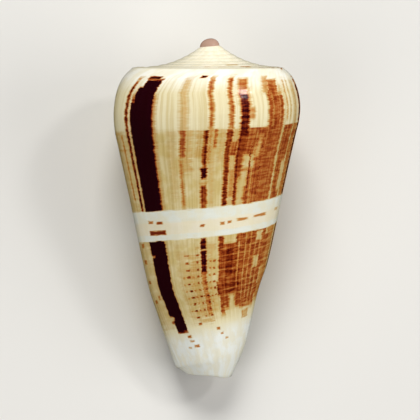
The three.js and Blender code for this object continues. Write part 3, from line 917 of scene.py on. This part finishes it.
@dataclass
class ConeShell:
    """The whole shell as one closed wall, lying on its outer lip and belly."""

    spiral: GrowthSpiral = field(default_factory=GrowthSpiral)
    columns: int = 264
    rows: int = 120
    ramp_rows: int = 9
    lip_rows: int = 4
    # growth angle at the back, where lengths down the side are measured
    back_angle: float = -132.0
    # degrees that the older growth lines bend, at depths below the shoulder's top
    bend_depths: tuple[float, ...] = (0, 2.5, 4, 6, 8, 12, 16, 20, 25, 60)
    bend_degrees: tuple[float, ...] = (-8, -6, -3, 0.5, 3, 2.2, 0.3, 0, -0.5, -0.5)
    rest_pitch: float = 12.38
    rest_roll: float = -7.24
    lip_rounding: float = 0.22

    def __post_init__(self) -> None:
        """Work out the grid's lines from the spiral."""
        spiral = self.spiral
        self.cavity_columns = round(self.columns * spiral.cavity_at_base / TURN)
        fine = np.linspace(0.0, spiral.rim_level, FINE_LEVELS)
        outline = spiral.side_outline(np.full_like(fine, self.back_angle), fine)
        run = np.concatenate([[0.0], np.cumsum(np.linalg.norm(np.diff(outline, axis=0), axis=1))])
        self.level_marks, self.run_marks = fine, run
        roof_run = float(np.interp(spiral.roof_level, fine, run))
        above = np.linspace(0.0, roof_run, self.lip_rows + 1)[:-1]
        below = np.linspace(roof_run, run[-1], self.rows + 1)
        self.levels = np.interp(np.concatenate([above, below]), run, fine)
        self.levels[self.lip_rows] = spiral.roof_level
        self.levels[-1] = spiral.rim_level

    def down(self, level: np.ndarray) -> np.ndarray:
        """Millimetres along the side from the shoulder's top to a level."""
        return np.interp(level, self.level_marks, self.run_marks)

    def growth_grid(self, sweep: np.ndarray, down: np.ndarray) -> np.ndarray:
        """Growth coordinates of sweeps and millimetres, scaled to units, as the last axis."""
        return np.stack([-sweep / DEGREES_PER_UNIT, down / MM_PER_UNIT], -1)

    def growth_places(self, sweep: np.ndarray, level: np.ndarray) -> np.ndarray:
        """Growth coordinates of points of the outer side.

        The older growth lines bend forwards below the shoulder and back above it, so the degrees
        are eased by the bend, which is interpolated between a few depths.

        Args:
            sweep: Sweeps back from the lip.
            level: Levels.

        Returns:
            Degrees and millimetres, scaled to units, as the last axis.
        """
        run = self.down(level)
        bend = np.interp(run, self.bend_depths, self.bend_degrees)
        # the last few degrees before the great dark band were grown straighter
        share = 0.3 + 0.7 * smoothstep(75.0, 120.0, -sweep)
        return self.growth_grid(sweep + bend * share, run)

    def sweeps(self, count: int, turn: float, start: float = 0.0) -> np.ndarray:
        """Sweeps of evenly spaced columns, running back from a start."""
        return start - np.arange(count + 1) * turn / count

    def side_sheet(self) -> Sheet:
        """The outer side of the last whorl."""
        sweep, level = np.meshgrid(self.sweeps(self.columns, TURN), self.levels, indexing="ij")
        growth = self.growth_places(sweep, level)
        return Sheet(self.spiral.side(sweep, level), growth, Finish.PATTERNED, True, Tile.SIDE)

    def spire_sheet(self) -> Sheet:
        """The upper faces of all the whorls, as one long ramp."""
        turns = self.spiral.whorls_shown
        sweeps = self.sweeps(self.columns * turns, TURN * turns)
        sweep, share = np.meshgrid(sweeps, np.linspace(0, 1, self.ramp_rows + 1), indexing="ij")
        points = self.spiral.ramp(sweep, share)
        width = self.spiral.suture(sweep + TURN) - self.spiral.suture(sweep)
        growth = self.growth_grid(sweep, (share - 1.0) * width)
        flat = 0.5 + points[..., (0, 2)] / SPIRE_SPAN_MM
        return Sheet(points, growth, Finish.PATTERNED, True, Tile.SPIRE, flat)

    def core_sheet(self) -> Sheet:
        """The older whorl inside the hollow, down to the columella."""
        levels = self.levels[self.lip_rows :]
        share = np.linspace(0, 1, self.cavity_columns + 1)[:, None]
        level = np.broadcast_to(levels, (self.cavity_columns + 1, len(levels)))
        sweep = -TURN - share * self.spiral.cavity_turn(level)
        growth = self.growth_grid(sweep, self.down(level))
        return Sheet(self.spiral.side(sweep, level), growth, Finish.PORCELAIN, True, Tile.CORE)

    def inner_sheet(self) -> Sheet:
        """The wall's inner face."""
        share = np.linspace(0, 1, self.cavity_columns + 1)[:, None]
        level = np.broadcast_to(self.levels, (self.cavity_columns + 1, len(self.levels)))
        sweep = -share * self.spiral.cavity_turn(level)
        growth = self.growth_grid(sweep, self.down(level))
        return Sheet(self.spiral.inner(sweep, level), growth, Finish.PORCELAIN, False, Tile.INNER)

    def roof_sheet(self) -> Sheet:
        """The roof of the hollow."""
        turn = float(self.spiral.cavity_turn(np.array(0.0)))
        sweeps = self.sweeps(self.cavity_columns, turn)
        sweep, share = np.meshgrid(sweeps, np.linspace(0, 1, self.ramp_rows + 1), indexing="ij")
        growth = np.stack([-sweep / DEGREES_PER_UNIT, share - 1.0], -1)
        return Sheet(self.spiral.roof(sweep, share), growth, Finish.PORCELAIN, False, Tile.ROOF)

    def edge_sheet(self, outer: np.ndarray, inner: np.ndarray, bulge: np.ndarray, tile: Tile) -> Sheet:
        """A rounded edge between two lines: half an ellipse whose top is the bulge.

        Args:
            outer: Points of the outer line.
            inner: Points of the inner line.
            bulge: Offset of the edge's top at each point.
            tile: Its place in the bake map.

        Returns:
            The edge.
        """
        turn = np.linspace(0, math.pi, self.lip_rows + 1)
        along = (0.5 - 0.5 * np.cos(turn))[None, :, None]
        points = outer[:, None] + (inner - outer)[:, None] * along
        points = points + bulge[:, None] * np.sin(turn)[None, :, None]
        points[:, 0], points[:, -1] = outer, inner
        growth = np.zeros(points.shape[:2] + (2,))
        growth[..., 1] = np.linspace(0, 1, len(outer))[:, None]
        return Sheet(points, growth, Finish.PORCELAIN, True, tile)

    def lip_lines(self) -> tuple[np.ndarray, np.ndarray, np.ndarray]:
        """Outer line, inner line and bulge of the lip, from the suture over the shoulder down."""
        shares = np.linspace(0, 1, self.ramp_rows + 1)[:-1]
        zero = np.zeros_like
        spiral, levels = self.spiral, self.levels
        outer = np.concatenate([spiral.ramp(zero(shares), shares), spiral.side(zero(levels), levels)])
        inner = np.concatenate([spiral.roof(zero(shares), shares), spiral.inner(zero(levels), levels)])
        ahead = np.concatenate([spiral.ramp(zero(shares) + 1, shares), spiral.side(zero(levels) + 1, levels)])
        forward = ahead - outer
        forward = forward / np.linalg.norm(forward, axis=1, keepdims=True) * self.lip_rounding
        return outer, inner, forward

    def edge_sheets(self) -> list[Sheet]:
        """The lip's edge and the rim of the base, meeting at one corner."""
        outer, inner, forward = self.lip_lines()
        lip = self.edge_sheet(outer, inner, forward, Tile.LIP)
        lip.points[0] = self.spiral.side(np.full(self.lip_rows + 1, -TURN), self.levels[: self.lip_rows + 1])
        sweeps = self.sweeps(self.cavity_columns, self.spiral.cavity_at_base)
        level = np.full_like(sweeps, self.spiral.rim_level)
        rim_outer = self.spiral.side(sweeps, level)
        rim_inner = self.spiral.inner(sweeps, level)
        bulge = np.zeros_like(rim_outer)
        bulge[:, 1] = -self.lip_rounding
        rim = self.edge_sheet(rim_outer, rim_inner, bulge, Tile.RIM)
        rim.points[0] = lip.points[-1]
        return [lip, rim]

    def fan(
        self, line: np.ndarray, middle: np.ndarray, turned_over: bool, finish: Finish, tile: Tile
    ) -> Sheet:
        """A fan of triangles between a line and one point.

        Args:
            line: Points of the line.
            middle: The point.
            turned_over: Whether the fan faces the other way.
            finish: Its finish.
            tile: Its place in the bake map.

        Returns:
            The fan.
        """
        points = np.stack([line, np.broadcast_to(middle, line.shape)], 1)
        growth = np.zeros(points.shape[:2] + (2,))
        growth[..., 0] = self.spiral.whorls_shown
        growth[..., 1] = CAP_DOWN_MM / MM_PER_UNIT
        return Sheet(points, growth, finish, turned_over, tile)

    def base_cap(self, rim: Sheet) -> list[Sheet]:
        """The closed bottom of the older whorls, beside the canal: three fans about the axis.

        Args:
            rim: The rounded rim of the base.

        Returns:
            The fans.
        """
        spiral = self.spiral
        rest = self.columns - self.cavity_columns
        closed_sweeps = self.sweeps(rest, TURN - spiral.cavity_at_base, -spiral.cavity_at_base)
        closed = spiral.side(closed_sweeps, np.full_like(closed_sweeps, spiral.rim_level))
        core_sweeps = self.sweeps(self.cavity_columns, spiral.cavity_at_base, -TURN)
        columella = spiral.side(core_sweeps, np.full_like(core_sweeps, spiral.rim_level))
        middle = np.array([0.0, columella[0, 1], 0.0])
        step = np.concatenate([rim.points[-1], columella[-1:], middle[None]])
        return [
            self.fan(closed[1:], middle, True, Finish.PORCELAIN, Tile.CLOSED_BASE),
            self.fan(columella, middle, True, Finish.PORCELAIN, Tile.COLUMELLA),
            self.fan(step, closed[1], False, Finish.PORCELAIN, Tile.CANAL_STEP),
        ]

    def apex_cap(self) -> list[Sheet]:
        """The small closed top inside the first whorl, and the step where that whorl begins.

        The top is a dome: as it rises by a sine, the first ring is drawn in by a cosine.

        Returns:
            The dome and the step.
        """
        spiral = self.spiral
        turns = spiral.whorls_shown
        sweeps = self.sweeps(self.columns, TURN, -TURN * (turns - 1))
        edge = spiral.ramp(sweeps, np.zeros_like(sweeps))
        shares = np.linspace(1, 0, self.ramp_rows + 1)
        start = spiral.ramp(np.full_like(shares, -TURN * turns), shares)
        ring = np.concatenate([edge[1:], edge[1:2]])[:, None]
        lift = np.linspace(0, math.pi / 2, self.ramp_rows + 1)[:, None]
        points = ring * np.cos(lift) * (1, 0, 1) + ring * (1 - np.sin(lift)) * (0, 1, 0)
        points[:, -1] = 0.0
        growth = np.full(points.shape[:2] + (2,), CAP_DOWN_MM / MM_PER_UNIT)
        growth[..., 0] = spiral.whorls_shown
        return [
            Sheet(points, growth, Finish.PATTERNED, False, Tile.DOME),
            self.fan(start, edge[1], True, Finish.PATTERNED, Tile.FIRST_STEP),
        ]

    def dead_end(self) -> list[Sheet]:
        """The blind end of the hollow: a strip straight across it, and a fan under its roof.

        Returns:
            The strip and the fan.
        """
        spiral = self.spiral
        levels = self.levels[self.lip_rows :]
        wall = spiral.inner(-spiral.cavity_turn(levels), levels)
        inside = spiral.side(-TURN - spiral.cavity_turn(levels), levels)
        shares = np.linspace(0, 1, self.ramp_rows + 1)[1:]
        turn = float(spiral.cavity_turn(np.array(0.0)))
        high = self.levels[1 : self.lip_rows + 1]
        above = spiral.roof(np.full_like(shares, -turn), shares)
        corner = np.concatenate([above, spiral.inner(-spiral.cavity_turn(high), high)])
        points = np.stack([wall, inside], 1)
        growth = np.zeros(points.shape[:2] + (2,))
        strip = Sheet(points, growth, Finish.PORCELAIN, True, Tile.DEAD_END)
        return [strip, self.fan(corner, inside[0], True, Finish.PORCELAIN, Tile.DEAD_END_CORNER)]

    def rest_turn(self) -> Matrix:
        """Turn from the growing pose to the lying pose: roll about the axis, then pitch."""
        roll = Matrix.Rotation(math.radians(self.rest_roll), 3, "Y")
        pitch = Matrix.Rotation(math.radians(self.rest_pitch), 3, "X")
        return pitch @ roll

    def build(self) -> bpy.types.Object:
        """Make the shell's object and lay it where the frame's solid lies.

        Returns:
            The finished piece.
        """
        edges = self.edge_sheets()
        sheets = [
            self.spire_sheet(), *self.apex_cap(), self.side_sheet(), self.core_sheet(), self.inner_sheet(),
            self.roof_sheet(), *edges, *self.base_cap(edges[1]), *self.dead_end(),
        ]
        turn = np.array(self.rest_turn())
        for sheet in sheets:
            sheet.points = sheet.points @ turn.T * METRES_PER_MM
        everything = np.concatenate([sheet.points.reshape(-1, 3) for sheet in sheets])
        low, high = everything.min(0), everything.max(0)
        box_low, box_high = (np.array(corner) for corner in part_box(NODE))
        self.shift = (box_low + box_high - low - high) / 2
        self.shift[2] = box_low[2] - low[2]
        for sheet in sheets:
            sheet.points = sheet.points + self.shift
        mesh = welded_mesh("cone_shell_wall", sheets)
        for finish in (PatternedShell(), InnerPorcelain()):
            mesh.materials.append(finish.build())
        piece = bpy.data.objects.new("cone_shell_wall", mesh)
        bpy.context.scene.collection.objects.link(piece)
        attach(piece, "root")
        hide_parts(NODE)
        LOG.info("built %s with %d faces", piece.name, len(mesh.polygons))
        return piece


# ---- Studio ----


@dataclass
class Studio:
    """A pale floor, soft lights and a camera that looks down on the shell's back."""

    shell: ConeShell
    floor_size: float = 3.0
    distance: float = 0.4
    field_of_view: float = 0.0746
    tilt: float = 4.5
    aim_down_axis: float = 30.4
    aim_right: float = 0.18
    sensor_width: float = 36.0
    floor_colour: str = "#d9d7d2"
    floor_roughness: float = 0.9
    air_strength: float = 0.12
    # name, place in metres, side in metres, power in watts, and whether it shows in reflections
    lamps: tuple[tuple[str, tuple[float, float, float], float, float, bool], ...] = (
        ("key", (-0.1, 0.72, 0.78), 0.5, 9.3, False),
        ("fill", (-0.6, -0.4, 0.65), 0.6, 3.0, False),
        ("side", (0.75, -0.15, 0.5), 0.6, 3.9, False),
        ("glint", (0.44, 0.27, 0.62), 0.1, 1.0, True),
    )

    def floor(self) -> None:
        """Lay the floor just under the shell."""
        half = self.floor_size / 2
        mesh = bpy.data.meshes.new("studio_floor")
        corners = [(-half, -half, 0.0), (half, -half, 0.0), (half, half, 0.0), (-half, half, 0.0)]
        mesh.from_pydata(corners, [], [(0, 1, 2, 3)])
        material = bpy.data.materials.new("matte_paper")
        material.use_nodes = True
        shader = material.node_tree.nodes["Principled BSDF"]
        shader.inputs["Base Color"].default_value = linear(self.floor_colour)
        shader.inputs["Roughness"].default_value = self.floor_roughness
        mesh.materials.append(material)
        floor = bpy.data.objects.new("studio_floor", mesh)
        floor.visible_glossy = False  # the polish would mirror it as a grey veil
        bpy.context.scene.collection.objects.link(floor)

    def lights(self) -> None:
        """Light the shell with square soft lights from beyond the spire and all round it."""
        middle = Vector((0.0, 0.0, 0.015))
        for name, place, size, power, glint in self.lamps:
            data = bpy.data.lights.new(name, "AREA")
            data.size = size
            data.energy = power
            lamp = bpy.data.objects.new(name, data)
            lamp.visible_glossy = glint
            lamp.location = place
            lamp.rotation_euler = (middle - Vector(place)).to_track_quat("-Z", "Y").to_euler()
            bpy.context.scene.collection.objects.link(lamp)
        world = bpy.data.worlds.new("studio_air")
        world.use_nodes = True
        sky = world.node_tree.nodes["Background"]
        sky.inputs["Color"].default_value = linear("#ffffff")
        sky.inputs["Strength"].default_value = self.air_strength
        world.cycles_visibility.glossy = False
        bpy.context.scene.world = world
        bpy.context.scene.view_settings.view_transform = "Standard"

    def camera(self) -> None:
        """Place the camera square to the shell's back, a little towards the spire."""
        turn = self.shell.rest_turn()
        tilt = math.radians(self.tilt)
        right = Vector((1, 0, 0))
        up = Vector((0, math.cos(tilt), -math.sin(tilt)))
        back = Vector((0, math.sin(tilt), math.cos(tilt)))
        aim = Vector((-self.aim_right, -self.aim_down_axis, 0))
        target = (turn @ aim) * METRES_PER_MM + Vector(self.shell.shift)
        axes = Matrix([turn @ right, turn @ up, turn @ back]).transposed()
        data = bpy.data.cameras.new("camera")
        data.sensor_width = self.sensor_width
        data.lens = data.sensor_width * self.distance / self.field_of_view
        data.clip_start = 0.01
        camera = bpy.data.objects.new("camera", data)
        camera.matrix_world = Matrix.Translation(target + turn @ back * self.distance) @ axes.to_4x4()
        bpy.context.scene.collection.objects.link(camera)
        bpy.context.scene.camera = camera

    def build(self) -> None:
        """Set up the floor, the lights and the camera."""
        self.floor()
        self.lights()
        self.camera()
        LOG.info("studio is set")


def main() -> None:
    """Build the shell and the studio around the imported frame."""
    logging.basicConfig(level=logging.INFO)
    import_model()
    shell = ConeShell()
    shell.build()
    Studio(shell).build()


if __name__ == "__main__":
    main()
